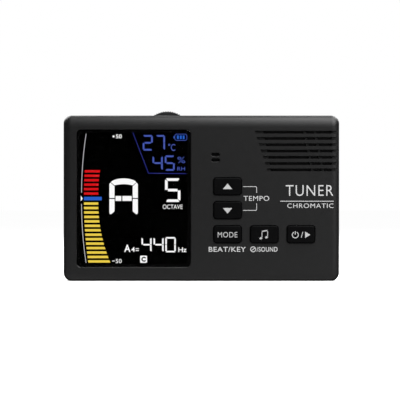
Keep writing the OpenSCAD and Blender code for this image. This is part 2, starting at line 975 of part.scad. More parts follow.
module processor() {
    color(key_black) upright() rear_chip(processor_at, processor_size);
}

module amplifier() {
    color(key_black) upright() rear_chip(amplifier_at, amplifier_size);
}

module crystal() {
    color("silver") upright()
        plate(crystal_at, crystal_size.x, crystal_size.y, crystal_size.y / 2 - eps,
            board_rear - crystal_size.z, board_rear);
}

module capacitor() {
    color([0.1, 0.12, 0.3]) upright()
        translate([capacitor_at.x, capacitor_at.y, board_rear - capacitor_r])
            rotate([90, 0, 0]) cylinder(h = capacitor_l, r = capacitor_r, center = true);
}

// The leaf hangs from its barrel and lies in the recess when it is closed
module stand_leaf() {
    h = hinge_y - stand_tip_y;
    outer = stand_mid - stand_t / 2;
    color(charcoal) upright() difference() {
        union() {
            plate([0, stand_tip_y + h / 2], stand_w, h, recess_r, outer, outer + stand_t);
            translate([-stand_w / 2, hinge_y - recess_r, outer]) cube([stand_w, recess_r, stand_t]);
            translate([0, hinge_y, stand_mid])
                rotate([0, 90, 0]) cylinder(h = stand_w, r = stand_t / 2, center = true);
        }
        plate([0, stand_tip_y + h / 2], stand_w - 2 * relief_inset, h - 2 * relief_inset, recess_r,
            outer - eps, outer + relief_deep);
        block([0, stand_tip_y + pad_deep / 2 - 0.5], [pad_w, pad_deep + 1, pad_t], stand_mid - pad_t / 2);
        translate([0, hinge_y, stand_mid]) rotate([0, 90, 0]) difference() {
            cylinder(h = stand_w + 1, r = hinge_pin_r, center = true);
            cylinder(h = stand_w - 2 * hinge_pin_in, r = stand_t, center = true);
        }
    }
}

module stand_pins() {
    long = hinge_pin_in + hinge_pin_out;
    color(steel) upright()
        for (side = [-1, 1])
            translate([side * (stand_w / 2 - hinge_pin_in + long / 2), hinge_y, stand_mid])
                rotate([0, 90, 0]) cylinder(h = long, r = hinge_pin_r, center = true);
}

module stand_pad() {
    long = pad_deep + pad_out;
    color(grey_rubber) upright()
        block([0, stand_tip_y + pad_deep - long / 2], [pad_w, long, pad_t], stand_mid - pad_t / 2);
}

// A countersunk-free cross-head screw with its head towards the back
module screw(at, head_rear, head_h, tip) {
    difference() {
        union() {
            rod(at, head_r, head_rear, head_rear + head_h);
            rod(at, screw_r, head_rear + head_h - eps, tip);
        }
        cross_recess(at, head_rear, cross_deep);
    }
}

module case_screws() {
    color(steel) upright()
        for (at = case_screw_points) screw(at, rear_z + head_sink, head_t, case_screw_front);
}

module board_screws() {
    color(steel) upright()
        for (at = board_screw_points) screw(at, board_rear - board_head_t, board_head_t, board_screw_front);
}

module rear_feet() {
    color(grey_rubber) upright()
        for (at = foot_points) rod(at, foot_r, rear_z - foot_rise, rear_z + foot_sink);
}

front_cover();
rear_cover();
display_lens();
display_gasket();
lcd_panel();
lcd_frame();
backlight_guide();
backlight_leds();
zebra_strips();
main_board();
key_up();
key_down();
key_mode();
key_note();
key_power();
plunger_up();
plunger_down();
plunger_mode();
plunger_note();
plunger_power();
tact_switches();
volume_wheel();
volume_shaft();
volume_wheel_screw();
volume_pot();
speaker_basket();
speaker_cone();
voice_coil();
speaker_magnet();
speaker_gasket();
speaker_cloth();
speaker_leads();
microphone();
microphone_boot();
battery();
battery_tape();
battery_leads();
battery_plug();
battery_socket();
phones_jack();
pickup_jack();
usb_shell();
usb_tongue();
climate_sensor();
processor();
amplifier();
crystal();
capacitor();
stand_leaf();
stand_pins();
stand_pad();
case_screws();
board_screws();
rear_feet();
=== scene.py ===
"""Looks of the pocket tuner and metronome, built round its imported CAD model.

Sizes are in millimetres in the face's own axes: x to the right, u up the face and n out of it,
towards the user. world() turns them into the row's frame in metres.
"""

import json
import math

import bmesh
import bpy
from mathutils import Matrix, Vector

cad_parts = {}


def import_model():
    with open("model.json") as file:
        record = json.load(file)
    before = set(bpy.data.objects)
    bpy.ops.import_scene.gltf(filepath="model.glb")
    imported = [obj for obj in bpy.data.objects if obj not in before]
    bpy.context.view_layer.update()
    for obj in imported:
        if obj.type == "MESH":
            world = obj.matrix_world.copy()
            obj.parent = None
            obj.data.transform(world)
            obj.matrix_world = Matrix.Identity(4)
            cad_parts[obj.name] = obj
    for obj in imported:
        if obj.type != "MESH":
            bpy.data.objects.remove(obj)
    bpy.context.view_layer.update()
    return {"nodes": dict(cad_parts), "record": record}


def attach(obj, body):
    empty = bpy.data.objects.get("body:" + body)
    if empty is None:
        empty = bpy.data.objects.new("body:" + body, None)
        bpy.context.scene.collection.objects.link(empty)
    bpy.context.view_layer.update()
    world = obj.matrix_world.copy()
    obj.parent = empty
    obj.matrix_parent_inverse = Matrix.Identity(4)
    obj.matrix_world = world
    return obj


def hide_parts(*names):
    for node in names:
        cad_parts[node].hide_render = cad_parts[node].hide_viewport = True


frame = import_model()

MM = 0.001
PRINT = 0.012  # thickness of printed ink, and of a display segment

# Case
CASE_W, CASE_H = 110.0, 66.0
CORNER = 3.2
FACE, FACE_IN = 8.0, 6.0
PART = 1.0
WALL = 1.8
ROLL_SIDE, ROLL_TOP, ROLL_DEPTH = 3.0, 4.8, 3.0
FLAT_RING = 0.04  # width of the strip that keeps a flat face's shading flat up to its rounded edge
PAST = 1.0  # how far a cutting shape reaches past what it cuts
OVERLAP = 0.5  # how far a cut reaches into another cut

# Display
WINDOW = (-26.95, 32.95, 45.5, 54.9, 1.8)  # centre, width, height and corner radius
VIEW_INSET = 1.0
LENS_SEAT, LENS_FRONT = 6.9, 7.7
LENS_GAP, LENS_EDGE = 0.05, 0.15
BORDER_W, BORDER_T = 1.3, 0.04
LCD_FRONT = 5.7
METER_CENTRE = 32.85
BAR_PITCH, BAR_TALL = 1.775, 0.96

# Microphone
MIC_X, MIC_U = 5.6, 49.3
MIC_SLOTS = [(MIC_X, u, 3.4, 1.35, 0.66) for u in (50.4, 48.2)]
FELT_R, FELT_REAR, FELT_FRONT = 2.95, 5.62, 5.95

# Keys
KEYS = {
    "up": (10.4, 37.7),
    "down": (10.4, 28.2),
    "mode": (10.4, 18.6),
    "note": (25.0, 18.6),
    "power": (39.6, 18.6),
}
# width, height and corner radius
KEY_OPENING = (11.3, 7.05, 1.25)
KEY_CAP = (11.0, 6.75, 1.1)
KEY_FLANGE = (12.6, 8.4, 1.1)
KEY_STEM = (3.2, 3.2, 1.59)
STEM_REAR, FLANGE_REAR, FLANGE_FRONT = 4.4, 5.1, 5.9
KEY_TOP = 8.7 - PRINT
KEY_EDGE = 0.45

# Grille
GROOVES = 7
GROOVE_TOP, GROOVE_PITCH, GROOVE_W, GROOVE_DEPTH = 59.3, 2.5, 1.15, 0.9
GROOVE_LEFT, GROOVE_LEAN = 21.4, 0.32
# left end and its lean, right end and its lean
GRILLE_OPENINGS = ((24.7, 0.2, 40.75, 0.2), (41.65, 0.2, 44.85, 0.2), (45.75, 0.2, 52.0, 0))


def world(x, u, n):
    return Vector((x * MM, -n * MM, u * MM))


# ---------------------------------------------------------------- shapes

def round_rect(cx, cu, w, h, r, steps=12):
    """Corners as arcs, counter-clockwise seen from the front."""
    points = []
    for sx, su, start in ((1, 1, 0), (-1, 1, 90), (-1, -1, 180), (1, -1, 270)):
        for i in range(steps + 1):
            a = math.radians(start + 90 * i / steps)
            points.append((
                cx + sx * (w / 2 - r) + r * math.cos(a),
                cu + su * (h / 2 - r) + r * math.sin(a),
            ))
    return points


def circle(cx, cu, r, steps=48):
    return [
        (cx + r * math.cos(2 * math.pi * i / steps), cu + r * math.sin(2 * math.pi * i / steps))
        for i in range(steps)
    ]


def loft_into(bm, rings):
    """Joins equal rings of (x, u, n) points into a closed skin."""
    rows = [[bm.verts.new(world(*p)) for p in ring] for ring in rings]
    count = len(rows[0])
    for low, high in zip(rows, rows[1:]):
        for i in range(count):
            j = (i + 1) % count
            bm.faces.new((low[i], low[j], high[j], high[i]))
    bm.faces.new(list(reversed(rows[0])))
    bm.faces.new(rows[-1])


def prism_into(bm, outline, n0, n1):
    loft_into(bm, [[(x, u, n0) for x, u in outline], [(x, u, n1) for x, u in outline]])


def flared_into(bm, box, flare, n0, n1):
    """A cut through a face that widens by flare between n0 and n1."""
    cx, cu, w, h, r = box
    low = [(x, u, n0) for x, u in round_rect(cx, cu, w, h, r)]
    high = [(x, u, n1) for x, u in round_rect(cx, cu, w + 2 * flare, h + 2 * flare, r + flare)]
    loft_into(bm, [low, high])


def object_from(bm, name):
    bmesh.ops.recalc_face_normals(bm, faces=bm.faces)
    mesh = bpy.data.meshes.new(name)
    bm.to_mesh(mesh)
    bm.free()
    obj = bpy.data.objects.new(name, mesh)
    bpy.context.scene.collection.objects.link(obj)
    return obj


def smooth(obj, degrees=32):
    mesh = obj.data
    mesh.polygons.foreach_set("use_smooth", [True] * len(mesh.polygons))
    mesh.set_sharp_from_angle(angle=math.radians(degrees))
    return obj


def cut(obj, bm):
    """Cuts the shape in bm out of obj and keeps the result as plain mesh."""
    tool = object_from(bm, obj.name + "_tool")
    modifier = obj.modifiers.new("cut", "BOOLEAN")
    modifier.operation = "DIFFERENCE"
    modifier.solver = "EXACT"
    modifier.object = tool
    graph = bpy.context.evaluated_depsgraph_get()
    mesh = bpy.data.meshes.new_from_object(obj.evaluated_get(graph))
    obj.modifiers.clear()
    old = obj.data
    obj.data = mesh
    mesh.name = obj.name
    bpy.data.meshes.remove(old)
    bpy.data.objects.remove(tool)


def finish_piece(obj, body, material, replaces=()):
    obj.data.materials.clear()
    obj.data.materials.append(material)
    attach(obj, body)
    if replaces:
        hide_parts(*replaces)


# ---------------------------------------------------------------- materials

def srgb(r, g, b):
    """Linear colour of an 8-bit display colour."""
    def linear(v):
        v /= 255
        return v / 12.92 if v <= 0.04045 else ((v + 0.055) / 1.055) ** 2.4
    return (linear(r), linear(g), linear(b), 1.0)


def surface(name, colour, rough, *, metal=0.0, specular=0.5, variation=0.12, rough_variation=0.06,
            grain=900.0, grain_height=0.0, coat=0.0, stretch=(1, 1, 1), emission=None, strength=1.0,
            transmission=0.0, ior=1.5):
    """A procedural surface: mottled colour, uneven roughness and a fine moulded or brushed grain."""
    material = bpy.data.materials.new(name)
    material.use_nodes = True
    nodes, links = material.node_tree.nodes, material.node_tree.links
    shader = nodes["Principled BSDF"]
    shader.inputs["Metallic"].default_value = metal
    shader.inputs["Specular IOR Level"].default_value = specular
    shader.inputs["Coat Weight"].default_value = coat
    shader.inputs["Transmission Weight"].default_value = transmission
    shader.inputs["IOR"].default_value = ior

    where = nodes.new("ShaderNodeTexCoord")
    scaled = nodes.new("ShaderNodeMapping")
    scaled.inputs["Scale"].default_value = stretch
    links.new(where.outputs["Object"], scaled.inputs["Vector"])

    mottle = nodes.new("ShaderNodeTexNoise")
    mottle.inputs["Scale"].default_value = grain / 9
    mottle.inputs["Detail"].default_value = 4
    links.new(scaled.outputs["Vector"], mottle.inputs["Vector"])
    tint = nodes.new("ShaderNodeValToRGB")
    tint.color_ramp.elements[0].position = 0.3
    tint.color_ramp.elements[1].position = 0.7
    for element, share in zip(tint.color_ramp.elements, (1 - variation, 1 + variation)):
        element.color = [min(c * share, 1) for c in colour[:3]] + [1]
    links.new(mottle.outputs["Fac"], tint.inputs["Fac"])
    links.new(tint.outputs["Color"], shader.inputs["Base Color"])

    fine = nodes.new("ShaderNodeTexNoise")
    fine.inputs["Scale"].default_value = grain
    fine.inputs["Detail"].default_value = 2
    links.new(scaled.outputs["Vector"], fine.inputs["Vector"])
    spread = nodes.new("ShaderNodeMapRange")
    spread.inputs["To Min"].default_value = max(rough - rough_variation, 0.01)
    spread.inputs["To Max"].default_value = min(rough + rough_variation, 1)
    links.new(fine.outputs["Fac"], spread.inputs["Value"])
    links.new(spread.outputs["Result"], shader.inputs["Roughness"])

    if grain_height:
        bump = nodes.new("ShaderNodeBump")
        bump.inputs["Strength"].default_value = 0.6
        bump.inputs["Distance"].default_value = grain_height * MM
        links.new(fine.outputs["Fac"], bump.inputs["Height"])
        links.new(bump.outputs["Normal"], shader.inputs["Normal"])
    if emission:
        shader.inputs["Emission Color"].default_value = emission
        shader.inputs["Emission Strength"].default_value = strength
    return material


def woven(name, colour, pitch):
    """Fine acoustic cloth: two crossed sets of threads."""
    material = surface(name, colour, 0.9, specular=0.2)
    nodes, links = material.node_tree.nodes, material.node_tree.links
    shader = nodes["Principled BSDF"]
    where = nodes.new("ShaderNodeTexCoord")
    waves = []
    for axis in ("X", "Z"):
        wave = nodes.new("ShaderNodeTexWave")
        wave.bands_direction = axis
        wave.inputs["Scale"].default_value = 1 / (pitch * MM) / 20 * math.pi
        links.new(where.outputs["Object"], wave.inputs["Vector"])
        waves.append(wave)
    both = nodes.new("ShaderNodeMath")
    both.operation = "MULTIPLY"
    for i, wave in enumerate(waves):
        links.new(wave.outputs["Fac"], both.inputs[i])
    bump = nodes.new("ShaderNodeBump")
    bump.inputs["Distance"].default_value = 0.05 * MM
    links.new(both.outputs["Value"], bump.inputs["Height"])
    links.new(bump.outputs["Normal"], shader.inputs["Normal"])
    return material


def lit(name, r, g, b, strength=1.0):
    """A display segment that shines through its colour filter."""
    return surface(name, (0.01, 0.01, 0.01), 0.4, specular=0.1, emission=srgb(r, g, b), strength=strength)


charcoal = surface("charcoal_moulding", (0.0042, 0.0042, 0.0044), 0.43, specular=0.5, variation=0.1,
                   grain=3600, grain_height=0.035)
key_black = surface("key_moulding", (0.0012, 0.0012, 0.0014), 0.5, specular=0.06, variation=0.15,
                    grain=2500, grain_height=0.008)
window_black = surface("window_print", (0.0008, 0.0008, 0.001), 0.6, specular=0.1)
window_clear = surface("window_acrylic", (0.98, 0.98, 0.985), 0.02, variation=0.01, rough_variation=0.01,
                       transmission=1.0, ior=1.45, specular=0.5)
glass_black = surface("display_glass", (0.0006, 0.0006, 0.0009), 0.3, specular=0.05, variation=0.3)
ink_white = surface("white_ink", (0.29, 0.29, 0.29), 0.6, specular=0.3, variation=0.04, grain=5000,
                    grain_height=0.004)
ink_key = surface("key_ink", (0.25, 0.25, 0.25), 0.6, specular=0.3, variation=0.04, grain=5000,
                  grain_height=0.004)
white_lit = lit("segment_white", 255, 255, 255, 1.04)
grey_lit = lit("segment_grey", 190, 190, 196)
red_lit = lit("segment_red", 214, 14, 20, 1.06)
blue_lit = lit("segment_blue", 38, 94, 198, 1.06)
digit_lit = lit("segment_digit_blue", 68, 88, 176, 1.06)
line_lit = lit("segment_line_blue", 44, 52, 150, 1.0)
yellow_lit = lit("segment_yellow", 236, 205, 72, 1.06)
felt_black = surface("felt", (0.004, 0.004, 0.004), 0.95, specular=0.1, grain=4000, grain_height=0.05)


# ---------------------------------------------------------------- front shell

def case_ring(side, top, n):
    r = max(CORNER - side, 0.2)
    ring = round_rect(0, (CASE_H + side - top) / 2, CASE_W - 2 * side, CASE_H - side - top, r, 16)
    return [(x, u, n) for x, u in ring]


def leaning(x, lean, u):
    return x + lean * (GROOVE_TOP - u)


def strip(u, x0, lean0, x1, lean1, w=GROOVE_W):
    up, low = u + w / 2, u - w / 2
    return [
        (leaning(x0, lean0, up), up),
        (leaning(x0, lean0, low), low),
        (leaning(x1, lean1, low), low),
        (leaning(x1, lean1, up), up),
    ]


def front_shell():
    bm = bmesh.new()
    rings = [case_ring(0, 0, PART)]
    steps = 20
    for i in range(steps + 1):
        a = math.radians(90 * i / steps)
        inset = 1 - math.cos(a)
        rings.append(case_ring(ROLL_SIDE * inset, ROLL_TOP * inset, FACE - ROLL_DEPTH * (1 - math.sin(a))))
    rings.append(case_ring(ROLL_SIDE + FLAT_RING, ROLL_TOP + FLAT_RING, FACE))
    loft_into(bm, rings)
    shell = object_from(bm, "front_shell")

    cavity = bmesh.new()
    outline = round_rect(0, CASE_H / 2, CASE_W - 2 * WALL, CASE_H - 2 * WALL, CORNER - WALL)
    prism_into(cavity, outline, PART - PAST, FACE_IN)
    cut(shell, cavity)

    cx, cu, w, h, r = WINDOW
    pocket = bmesh.new()
    prism_into(pocket, round_rect(cx, cu, w, h, r), LENS_SEAT, FACE + PAST)
    for x, u in KEYS.values():
        prism_into(pocket, round_rect(x, u, *KEY_OPENING), FACE_IN - PAST, FACE + PAST)
    for slot in MIC_SLOTS:
        prism_into(pocket, round_rect(*slot), FACE_IN - PAST, FACE + PAST)
    for i in range(GROOVES):
        groove = strip(GROOVE_TOP - i * GROOVE_PITCH, GROOVE_LEFT, GROOVE_LEAN, CASE_W / 2 + PAST, 0)
        prism_into(pocket, groove, FACE - GROOVE_DEPTH, FACE + PAST)
    cut(shell, pocket)

    edges = bmesh.new()
    flared_into(edges, WINDOW, 0.25, FACE - 0.2, FACE + 0.05)
    for x, u in KEYS.values():
        flared_into(edges, (x, u, *KEY_OPENING), 0.25, FACE - 0.2, FACE + 0.05)
    for slot in MIC_SLOTS:
        flared_into(edges, slot, 0.18, FACE - 0.15, FACE + 0.03)
    cut(shell, edges)

    through = bmesh.new()
    view = round_rect(cx, cu, w - 2 * VIEW_INSET, h - 2 * VIEW_INSET, r)
    prism_into(through, view, FACE_IN - PAST, LENS_SEAT + OVERLAP)
    for i in range(GROOVES):
        u = GROOVE_TOP - i * GROOVE_PITCH
        for opening in GRILLE_OPENINGS:
            prism_into(through, strip(u, *opening), FACE_IN - PAST, FACE - GROOVE_DEPTH + OVERLAP)
    cut(shell, through)
    smooth(shell, 20)
    finish_piece(shell, "case", charcoal, ["front_cover"])


def lens():
    """Clear window with a black printed border on its back."""
    cx, cu, w, h, r = WINDOW
    w, h, r = w - 2 * LENS_GAP, h - 2 * LENS_GAP, r - LENS_GAP

    def ring(inset, n):
        return [(x, u, n) for x, u in round_rect(cx, cu, w - 2 * inset, h - 2 * inset, r - inset)]

    rings = [ring(0, LENS_SEAT), ring(0, LENS_FRONT - LENS_EDGE)]
    steps = 4
    for i in range(1, steps + 1):
        a = math.radians(90 * i / steps)
        rings.append(ring(LENS_EDGE * (1 - math.cos(a)), LENS_FRONT - LENS_EDGE * (1 - math.sin(a))))
    rings.append(ring(LENS_EDGE + FLAT_RING, LENS_FRONT))
    bm = bmesh.new()
    loft_into(bm, rings)
    obj = smooth(object_from(bm, "display_window"))
    finish_piece(obj, "case", window_clear, ["display_lens"])

    outer = round_rect(cx, cu, w - 2 * LENS_GAP, h - 2 * LENS_GAP, r)
    inner = round_rect(cx, cu, w - 2 * BORDER_W, h - 2 * BORDER_W, r)
    flat_ring("window_border_print", outer, inner, LENS_SEAT - BORDER_T / 2, "case",
              window_black, BORDER_T)


# ---------------------------------------------------------------- keys and print

def key_cap(name):
    x, u = KEYS[name]
    bm = bmesh.new()

    def ring(w, h, r, n):
        return [(px, pu, n) for px, pu in round_rect(x, u, w, h, r, 10)]

    w, h, r = KEY_CAP
    rings = [
        ring(*KEY_STEM, STEM_REAR),
        ring(*KEY_STEM, FLANGE_REAR),
        ring(*KEY_FLANGE, FLANGE_REAR),
        ring(*KEY_FLANGE, FLANGE_FRONT),
        ring(w, h, r, FLANGE_FRONT),
        ring(w, h, r, KEY_TOP - KEY_EDGE),
    ]
    steps = 8
    for i in range(1, steps + 1):
        a = math.radians(90 * i / steps)
        inset = KEY_EDGE * (1 - math.cos(a))
        n = KEY_TOP - KEY_EDGE * (1 - math.sin(a))
        rings.append(ring(w - 2 * inset, h - 2 * inset, r - inset, n))
    inset = KEY_EDGE + FLAT_RING
    rings.append(ring(w - 2 * inset, h - 2 * inset, r - inset, KEY_TOP))
    loft_into(bm, rings)
    obj = smooth(object_from(bm, "keycap_" + name), 30)
    finish_piece(obj, name + "_key", key_black, ["key_" + name])


def flat(name, outlines, n0, body, material):
    """Thin flat shapes, such as ink or display segments."""
    bm = bmesh.new()
    for outline in outlines:
        prism_into(bm, outline, n0, n0 + PRINT)
    finish_piece(object_from(bm, name), body, material)


def flat_ring(name, outer, inner, n0, body, material, thick=PRINT):
    """A flat ring between an outer and an inner outline of as many points."""
    bm = bmesh.new()
    rows = [[bm.verts.new(world(x, u, n)) for x, u in outline]
            for outline, n in ((outer, n0), (outer, n0 + thick), (inner, n0 + thick), (inner, n0))]
    for low, high in zip(rows, rows[1:] + rows[:1]):
        for i in range(len(low)):
            j = (i + 1) % len(low)
            bm.faces.new((low[i], low[j], high[j], high[i]))
    finish_piece(object_from(bm, name), body, material)


def line(points, width):
    """Outline of a stroke along points, with square ends."""
    left, right = [], []
    for i, p in enumerate(points):
        a, b = points[max(i - 1, 0)], points[min(i + 1, len(points) - 1)]
        dx, du = b[0] - a[0], b[1] - a[1]
        size = math.hypot(dx, du)
        ox, ou = -du / size * width / 2, dx / size * width / 2
        left.append((p[0] + ox, p[1] + ou))
        right.append((p[0] - ox, p[1] - ou))
    return right + left[::-1]


def arc(cx, cu, r, start, end, steps=10):
    return [
        (cx + r * math.cos(math.radians(start + (end - start) * i / steps)),
         cu + r * math.sin(math.radians(start + (end - start) * i / steps)))
        for i in range(steps + 1)
    ]


def lettering(name, text, box, n0, body, material, bold=0.0, spacing=1.0):
    """Text from the built-in font, fitted to the box (x0, x1, u0, u1).

    A letter M takes no bold, and a B no more than 0.01, or its outline crosses itself.
    """
    curve = bpy.data.curves.new(name, "FONT")
    curve.body = text
    curve.extrude = 0.5
    curve.offset = bold
    curve.space_character = spacing
    curve.resolution_u = 6
    source = bpy.data.objects.new(name + "_source", curve)
    bpy.context.scene.collection.objects.link(source)
    bpy.context.view_layer.update()
    graph = bpy.context.evaluated_depsgraph_get()
    mesh = bpy.data.meshes.new_from_object(source.evaluated_get(graph))
    bpy.data.objects.remove(source)
    bpy.data.curves.remove(curve)
    xs = [v.co.x for v in mesh.vertices]
    ys = [v.co.y for v in mesh.vertices]
    x0, x1, u0, u1 = box
    for v in mesh.vertices:
        x = x0 + (v.co.x - min(xs)) / (max(xs) - min(xs)) * (x1 - x0)
        u = u0 + (v.co.y - min(ys)) / (max(ys) - min(ys)) * (u1 - u0)
        v.co = world(x, u, n0 + (PRINT if v.co.z > 0 else 0))
    bm = bmesh.new()
    bm.from_mesh(mesh)
    bpy.data.meshes.remove(mesh)
    bmesh.ops.remove_doubles(bm, verts=bm.verts, dist=1e-7)
    finish_piece(object_from(bm, name), body, material)


def face_print():
    n = FACE - PRINT / 2
    slot, ink = "case_plastic", ink_white

    def words(name, text, box, bold=0.012, spacing=1.08):
        lettering(name, text, box, n, "case", ink, bold, spacing)

    words("label_tempo", "TEMPO", (16.8, 27.0, 31.95, 33.9), 0.0)
    words("label_beat", "BEAT/KEY", (2.9, 17.7, 11.65, 13.65), 0.01)
    words("label_sound", "/SOUND", (22.0, 30.3, 11.7, 13.6))
    words("label_tuner", "TUNER", (33.6, 52.5, 33.9, 38.2), -0.006, 1.14)
    words("label_chromatic", "CHROMATIC", (34.2, 52.6, 29.1, 30.9), 0.0, 1.12)
    flat("rule_line", [line([(31.4, 31.8), (52.65, 31.8)], 0.27)], n, "case", ink)

    outer, inner = [circle(20.6, 12.65, r) for r in (1.15, 0.85)]
    flat_ring("icon_sound_ring", outer, inner, n, "case", ink)
    flat("icon_sound_bar", [line([(19.9, 12.1), (21.3, 13.2)], 0.32)], n, "case", ink)

    upper = [(16.6, 37.6), (21.5, 37.6)] + arc(21.5, 37.1, 0.5, 90, 0) + [(22.0, 35.1)]
    lower = [(22.0, 30.95), (22.0, 28.65)] + arc(21.5, 28.65, 0.5, 0, -90) + [(16.6, 28.15)]
    flat("tempo_bracket", [line(upper, 0.22), line(lower, 0.22)], n, "case", ink)


def note_head(x, u):
    """An ellipse that leans to the right, round (x, u)."""
    long, short, lean, steps = 0.6, 0.42, 0.35, 24
    points = []
    for i in range(steps):
        t = 2 * math.pi * i / steps
        points.append((
            x + long * math.cos(t) * math.cos(lean) - short * math.sin(t) * math.sin(lean),
            u + long * math.cos(t) * math.sin(lean) + short * math.sin(t) * math.cos(lean),
        ))
    return points


def key_print():
    slot, ink, n = "key_plastic", ink_key, KEY_TOP

    x, u = KEYS["up"]
    flat("print_up", [[(x - 1.85, u - 1.1), (x + 1.85, u - 1.1), (x, u + 1.15)]], n, "up_key", ink)
    x, u = KEYS["down"]
    flat("print_down", [[(x, u - 1.35), (x + 1.85, u + 0.9), (x - 1.85, u + 0.9)]], n, "down_key", ink)

    x, u = KEYS["mode"]
    box = (x - 3.9, x + 3.9, u - 1.2, u + 0.95)
    lettering("print_mode", "MODE", box, n, "mode_key", ink, 0.0, 1.1)

    # two joined quavers
    x, u = KEYS["note"]
    left, right, top = x - 0.9, x + 1.35, u + 1.3
    heads = [note_head(left - 0.42, u - 1.55), note_head(right - 0.42, u - 1.15)]
    stems = [line([(left, u - 1.5), (left, top)], 0.28), line([(right, u - 1.1), (right, top + 0.4)], 0.28)]
    beam = [
        (left - 0.14, top - 0.35),
        (right + 0.14, top + 0.05),
        (right + 0.14, top + 0.5),
        (left - 0.14, top + 0.1),
    ]
    flat("print_note", heads + stems + [beam], n, "note_key", ink)

    # on and off sign, stroke and play triangle
    x, u = KEYS["power"]
    cx, cu = x - 2.25, u - 0.2
    flat("print_power", [
        line(arc(cx, cu, 1.2, 120, 420, 36), 0.34),
        line([(cx, cu + 0.1), (cx, cu + 1.45)], 0.34),
        line([(x + 0.1, u - 1.35), (x + 0.75, u + 1.05)], 0.26),
        [(x + 1.65, u - 1.4), (x + 3.7, u - 0.15), (x + 1.65, u + 1.1)],
    ], n, "power_key", ink)


# ---------------------------------------------------------------- display

SEGMENTS = {"0": "abcdef", "2": "abged", "4": "fgbc", "5": "afgcd", "7": "abc"}


def digit(ch, x, u, w, h, t, gap=0.1):
    """Outlines of a seven-segment digit whose lower left corner is (x, u)."""
    k = t * 0.42
    mid = u + h / 2
    left, right, top = x, x + w, u + h
    shapes = {
        "a": [(left + k, top - k / 2), (left + t, top - t), (right - t, top - t), (right - k, top - k / 2),
              (right - 1.5 * k, top), (left + 1.5 * k, top)],
        "d": [(left + 1.5 * k, u), (right - 1.5 * k, u), (right - k, u + k / 2), (right - t, u + t),
              (left + t, u + t), (left + k, u + k / 2)],
        "g": [(left + t + gap, mid - t / 2), (right - t - gap, mid - t / 2), (right - t - gap, mid + t / 2),
              (left + t + gap, mid + t / 2)],
        "f": [(left, mid + gap), (left + t, mid + gap), (left + t, top - t - gap),
              (left + k / 2, top - k - gap), (left, top - 1.5 * k - gap)],
        "b": [(right - t, mid + gap), (right, mid + gap), (right, top - 1.5 * k - gap),
              (right - k / 2, top - k - gap), (right - t, top - t - gap)],
        "e": [(left, u + 1.5 * k + gap), (left + k / 2, u + k + gap), (left + t, u + t + gap),
              (left + t, mid - gap), (left, mid - gap)],
        "c": [(right - t, u + t + gap), (right - k / 2, u + k + gap), (right, u + 1.5 * k + gap),
              (right, mid - gap), (right - t, mid - gap)],
    }
    return [shapes[s] for s in SEGMENTS[ch]]


def big_letter():
    """The note name: an arched top, four legs and a middle bar in two pieces."""
    x0, x1, u0, u1, t, gap = -36.7, -25.35, 26.5, 40.9, 2.05, 0.2
    mid = 32.9
    shapes = []
    rise = [(x0 + 0.55 + (x1 - x0 - 1.1) * i / 12, u1 - 1.5 + 1.5 * math.sin(math.pi * i / 12) ** 0.6)
            for i in range(13)]
    under = [(x0 + t + (x1 - x0 - 2 * t) * i / 8, u1 - 2.75 + 0.45 * math.sin(math.pi * i / 8))
             for i in range(9)]
    shapes.append(under + rise[::-1])
    for side in (-1, 1):
        def place(x, u):
            return ((x0 + x1) / 2 + side * x, u)
        out = (x1 - x0) / 2
        shapes.append([place(out - t, mid + gap), place(out, mid + gap), place(out, u1 - 2.1),
                       place(out - 0.5, u1 - 1.75), place(out - t, u1 - 3.1)][::side])
        shapes.append([place(out - t, u0 + 1.3), place(out - 0.55, u0), place(out, u0 + 0.5),
                       place(out, mid - gap), place(out - t, mid - gap)][::side])
    for a, b in ((x0 + t + 0.4, x0 + 4.75), (x0 + 5.2, x1 - t - 0.4)):
        shapes.append([(a, mid - 0.98), (b, mid - 0.98), (b, mid + 0.98), (a, mid + 0.98)])
    return shapes


